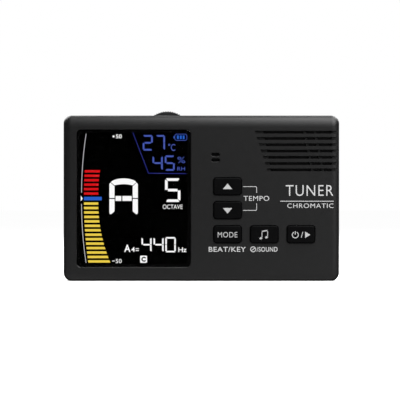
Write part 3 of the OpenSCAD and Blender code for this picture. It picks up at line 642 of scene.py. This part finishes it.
def display():
    n, slot = LCD_FRONT, "lcd_glass"

    def segments(name, outlines, material):
        flat(name, outlines, n, "case", material)

    def words(name, text, box, material, bold=0.02):
        lettering(name, text, box, n, "case", material, bold)

    def bar(low, high):
        """One bar of the meter between two curves that bow to the left."""
        def left(u):
            return -46.86 + 1.75 * (abs(u - METER_CENTRE) / 25.5) ** 2
        def right(u):
            return -41.15 + 4.9 * (max(abs(u - METER_CENTRE) - 1.2, 0) / 24.5) ** 2.1
        return [(left(low), low), (right(low), low), (right(high), high), (left(high), high)]

    def bars(first, step, count):
        return [bar(first + i * step, first + i * step + BAR_TALL) for i in range(count)]

    segments("meter_sharp", bars(34.38, BAR_PITCH, 6), red_lit)
    segments("meter_flat", bars(30.38, -BAR_PITCH, 14), yellow_lit)
    segments("meter_centre", [[(-46.85, 32.15), (-39.75, 32.15), (-39.75, 33.55), (-46.85, 33.55)]], blue_lit)

    def bow(u):
        return (-47.82 + 1.85 * (abs(u - METER_CENTRE) / 25.8) ** 2.2, u)

    upper = [bow(35.2 + (58.7 - 35.2) * i / 16) for i in range(17)]
    lower = [bow(30.7 - (30.7 - 7.2) * i / 16) for i in range(17)]
    segments("meter_scale", [line(upper, 0.27), line(lower, 0.27)], grey_lit)
    segments("meter_pointer", [[(-48.1, 31.75), (-47.35, 32.9), (-48.1, 34.05)]], white_lit)

    words("sharp_limit", "50", (-34.1, -31.75, 56.85, 58.5), white_lit, 0.012)
    plus = [line([(-35.5, 57.65), (-34.55, 57.65)], 0.34), line([(-35.02, 57.15), (-35.02, 58.15)], 0.34)]
    segments("sharp_sign", plus, white_lit)
    words("flat_limit", "50", (-34.2, -31.8, 7.1, 8.75), white_lit, 0.0)
    segments("flat_sign", [line([(-35.6, 7.95), (-34.6, 7.95)], 0.28)], white_lit)
    segments("note_name", big_letter(), white_lit)
    segments("octave_number", digit("5", -14.5, 31.5, 6.15, 9.45, 1.05, 0.12), white_lit)
    words("octave_label", "OCTAVE", (-15.4, -7.5, 28.7, 30.45), white_lit, 0.0)

    degrees = digit("2", -23.4, 52.0, 4.0, 6.2, 0.68) + digit("7", -18.2, 52.0, 3.7, 6.2, 0.68)
    segments("temperature", degrees, digit_lit)
    words("temperature_unit", "C", (-12.15, -10.4, 51.9, 54.6), digit_lit, 0.0)
    outer, inner = [circle(-12.85, 54.3, r, 24) for r in (0.42, 0.2)]
    flat_ring("degree_sign", outer, inner, n, "case", digit_lit)
    percent = digit("4", -19.5, 44.0, 4.1, 6.0, 0.68) + digit("5", -14.6, 43.95, 3.95, 6.1, 0.68)
    segments("humidity", percent, digit_lit)
    words("percent_sign", "%", (-9.5, -6.5, 47.0, 49.5), digit_lit, -0.006)
    words("humidity_label", "RH", (-9.6, -6.55, 44.0, 45.5), digit_lit, 0.0)
    corner = [line([(-27.45, 59.5), (-21.15, 43.1)], 0.2), line([(-21.2, 42.95), (-6.0, 42.8)], 0.2)]
    segments("corner_line", corner, line_lit)

    # battery sign: an outline with its terminal to the left and three full cells
    outer = round_rect(-8.2, 57.3, 5.0, 2.7, 0.9)
    inner = round_rect(-8.2, 57.3, 4.6, 2.3, 0.7)
    flat_ring("battery_outline", outer, inner, n, "case", digit_lit)
    cells = [[(x, 56.6), (x + 0.75, 56.6), (x + 0.75, 58.0), (x, 58.0)] for x in (-9.75, -8.6, -7.45)]
    terminal = [(-11.1, 56.9), (-10.75, 56.9), (-10.75, 57.7), (-11.1, 57.7)]
    segments("battery_cells", cells + [terminal], blue_lit)

    words("reference_name", "A", (-30.8, -28.3, 11.55, 14.5), white_lit, 0.02)
    words("reference_octave", "4", (-27.95, -26.55, 11.6, 13.55), white_lit, 0.015)
    segments("reference_equals", [line([(-26.2, u), (-24.95, u)], 0.3) for u in (12.1, 12.85)], white_lit)
    pitch_digits = []
    for ch, x, w in (("4", -23.9, 4.05), ("4", -19.1, 4.05), ("0", -14.4, 4.2)):
        pitch_digits += digit(ch, x, 11.4, w, 6.1, 0.62)
    segments("reference_pitch", pitch_digits, white_lit)
    words("reference_unit", "Hz", (-9.2, -5.9, 11.5, 13.4), white_lit, 0.012)

    segments("key_box", [round_rect(-23.05, 8.65, 2.75, 2.85, 0.35, 4)], white_lit)
    lettering("key_letter", "C", (-23.95, -22.2, 7.65, 9.65), n + PRINT, "case", window_black, 0.06)


# ---------------------------------------------------------------- finishes of the CAD pieces

def dress():
    steel = surface("bright_steel", (0.5, 0.5, 0.52), 0.35, metal=0.6, variation=0.05, grain=3000,
                    grain_height=0.01, stretch=(1, 8, 1))
    zinc = surface("black_zinc", (0.1, 0.1, 0.105), 0.38, metal=0.6, variation=0.2, grain=2500,
                   grain_height=0.01)
    wheel = surface("wheel_moulding", (0.012, 0.012, 0.0125), 0.42, specular=0.45, grain=2500,
                    grain_height=0.01)
    rubber = surface("foot_rubber", (0.012, 0.012, 0.012), 0.8, specular=0.3, grain=2500, grain_height=0.04)
    jack = surface("jack_moulding", (0.006, 0.006, 0.0065), 0.3, specular=0.5)
    looks = {
        "case_plastic": charcoal,
        "key_plastic": key_black,
        "frame_plastic": surface("frame_moulding", (0.006, 0.006, 0.006), 0.6, grain=2500,
                                 grain_height=0.02),
        "lcd_glass": glass_black,
        "guide_acrylic": surface("milky_acrylic", (0.78, 0.78, 0.76), 0.3, coat=0.3),
        "led_resin": surface("cast_resin", (0.8, 0.62, 0.1), 0.25, coat=0.4),
        "contact_rubber": surface("striped_rubber", (0.12, 0.12, 0.13), 0.7, variation=0.6, grain=6000,
                                  stretch=(1, 1, 0.05)),
        "board_laminate": surface("solder_resist", (0.01, 0.09, 0.035), 0.3, coat=0.5, variation=0.35,
                                  grain=1500, grain_height=0.02),
        "switch_steel": steel,
        "plunger_plastic": surface("plunger_moulding", (0.02, 0.02, 0.02), 0.5, grain=2500,
                                   grain_height=0.02),
        "wheel_plastic": wheel,
        "plated_steel": steel,
        "pot_phenolic": surface("brown_laminate", (0.14, 0.06, 0.02), 0.5, variation=0.3),
        "basket_steel": surface("black_lacquer", (0.012, 0.012, 0.014), 0.35, coat=0.3),
        "cone_paper": surface("doped_paper", (0.01, 0.01, 0.01), 0.8, variation=0.4, grain=2500,
                              grain_height=0.08),
        "coil_copper": surface("copper_wire", (0.55, 0.2, 0.07), 0.3, metal=0.6, grain=5000,
                               stretch=(0.02, 1, 0.02), grain_height=0.06),
        "foam_black": surface("open_foam", (0.006, 0.006, 0.006), 0.95, specular=0.1, grain=3500,
                              grain_height=0.15),
        "cloth_black": woven("acoustic_cloth", (0.005, 0.005, 0.005), 0.25),
        "wire_plastic": surface("red_insulation", (0.42, 0.01, 0.008), 0.45),
        "capsule_aluminium": surface("drawn_aluminium", (0.6, 0.6, 0.6), 0.35, metal=0.6, grain=3000,
                                     grain_height=0.01),
        "boot_rubber": rubber,
        "foil_pouch": surface("laminated_foil", (0.62, 0.62, 0.64), 0.35, metal=0.5, grain=400,
                              grain_height=0.12),
        "tape_white": surface("tape", (0.75, 0.75, 0.72), 0.8, grain=2500, grain_height=0.03),
        "connector_nylon": surface("nylon", (0.7, 0.62, 0.42), 0.45),
        "jack_plastic": jack,
        "chip_resin": surface("epoxy", (0.006, 0.006, 0.006), 0.55, grain=4000, grain_height=0.02),
        "sensor_plastic": surface("white_moulding", (0.75, 0.75, 0.74), 0.45),
        "can_aluminium": steel,
        "sleeve_plastic": surface("shrink_sleeve", (0.012, 0.02, 0.09), 0.3, coat=0.3),
        "foot_rubber": rubber,
        "screw_steel": zinc,
        "window_acrylic": window_clear,
    }
    slots = {s["node"]: s["material_slot"] for s in frame["record"]["subparts"]}
    for node, obj in frame["nodes"].items():
        obj.data.materials.clear()
        obj.data.materials.append(looks[slots[node]])


def felt_disc():
    """Felt in front of the microphone, seen through its slots."""
    bm = bmesh.new()
    prism_into(bm, circle(MIC_X, MIC_U, FELT_R), FELT_REAR, FELT_FRONT)
    finish_piece(smooth(object_from(bm, "microphone_felt")), "case", felt_black)


# ---------------------------------------------------------------- studio

def studio():
    scene = bpy.context.scene
    scene.view_settings.view_transform = "Standard"
    scene.view_settings.look = "None"
    scene.view_settings.exposure = 0
    scene.view_settings.gamma = 1

    world_shader = bpy.data.worlds.new("studio")
    scene.world = world_shader
    world_shader.use_nodes = True
    background = world_shader.node_tree.nodes["Background"]
    background.inputs["Color"].default_value = (1, 1, 1, 1)
    background.inputs["Strength"].default_value = 1.0
    world_shader.cycles_visibility.glossy = False
    world_shader.cycles_visibility.transmission = False

    mesh = bpy.data.meshes.new("floor")
    half = 6.0
    corners = [(-half, -half, 0), (half, -half, 0), (half, half, 0), (-half, half, 0)]
    mesh.from_pydata(corners, [], [(0, 1, 2, 3)])
    floor = bpy.data.objects.new("floor", mesh)
    scene.collection.objects.link(floor)
    pale = surface("pale_floor", (0.86, 0.86, 0.86), 0.9, specular=0.0, variation=0.005, grain=20,
                   emission=(1, 1, 1, 1), strength=0.12)
    mesh.materials.append(pale)
    floor.visible_glossy = False
    floor.visible_transmission = False

    def lamp(name, where, aim, size_x, size_y, power):
        """A rectangular light; places and sizes in metres, power in watts."""
        data = bpy.data.lights.new(name, "AREA")
        data.shape = "RECTANGLE"
        data.size, data.size_y = size_x, size_y
        data.energy = power
        obj = bpy.data.objects.new(name, data)
        obj.location = where
        obj.rotation_mode = "QUATERNION"
        obj.rotation_quaternion = (Vector(aim) - Vector(where)).to_track_quat("-Z", "Y")
        scene.collection.objects.link(obj)
        obj.visible_camera = False

    lamp("top_light", (0.24, -0.28, 0.4), (0.18, -0.16, 0.0), 0.4, 0.62, 4.5)
    lamp("right_light", (0.22, -0.14, 0.06), (0.05, 0.0, 0.035), 0.08, 0.08, 0.018)
    lamp("floor_bounce", (0.0, -0.0666, 0.0005), (0.0, -0.06, 1.0), 0.5, 0.12, 0.07)
    lamp("back_left_light", (-0.38, 0.45, 0.58), (0.0, 0.0, 0.03), 0.5, 0.5, 6.0)
    lamp("back_right_light", (0.38, 0.45, 0.58), (0.0, 0.0, 0.03), 0.5, 0.5, 6.0)

    camera_data = bpy.data.cameras.new("camera")
    camera_data.sensor_width = 36
    camera_data.lens = 200
    camera = bpy.data.objects.new("camera", camera_data)
    scene.collection.objects.link(camera)
    width = 0.1592  # seen across the picture, in the plane of the face
    distance = width * camera_data.lens / camera_data.sensor_width
    camera.location = (-0.00055, -FACE * MM - distance, 0.03228)
    camera.rotation_euler = (math.radians(90), 0, 0)
    camera_data.clip_start, camera_data.clip_end = 0.01, 50
    scene.camera = camera


studio()
dress()
front_shell()
lens()
for key in KEYS:
    key_cap(key)
face_print()
key_print()
display()
felt_disc()
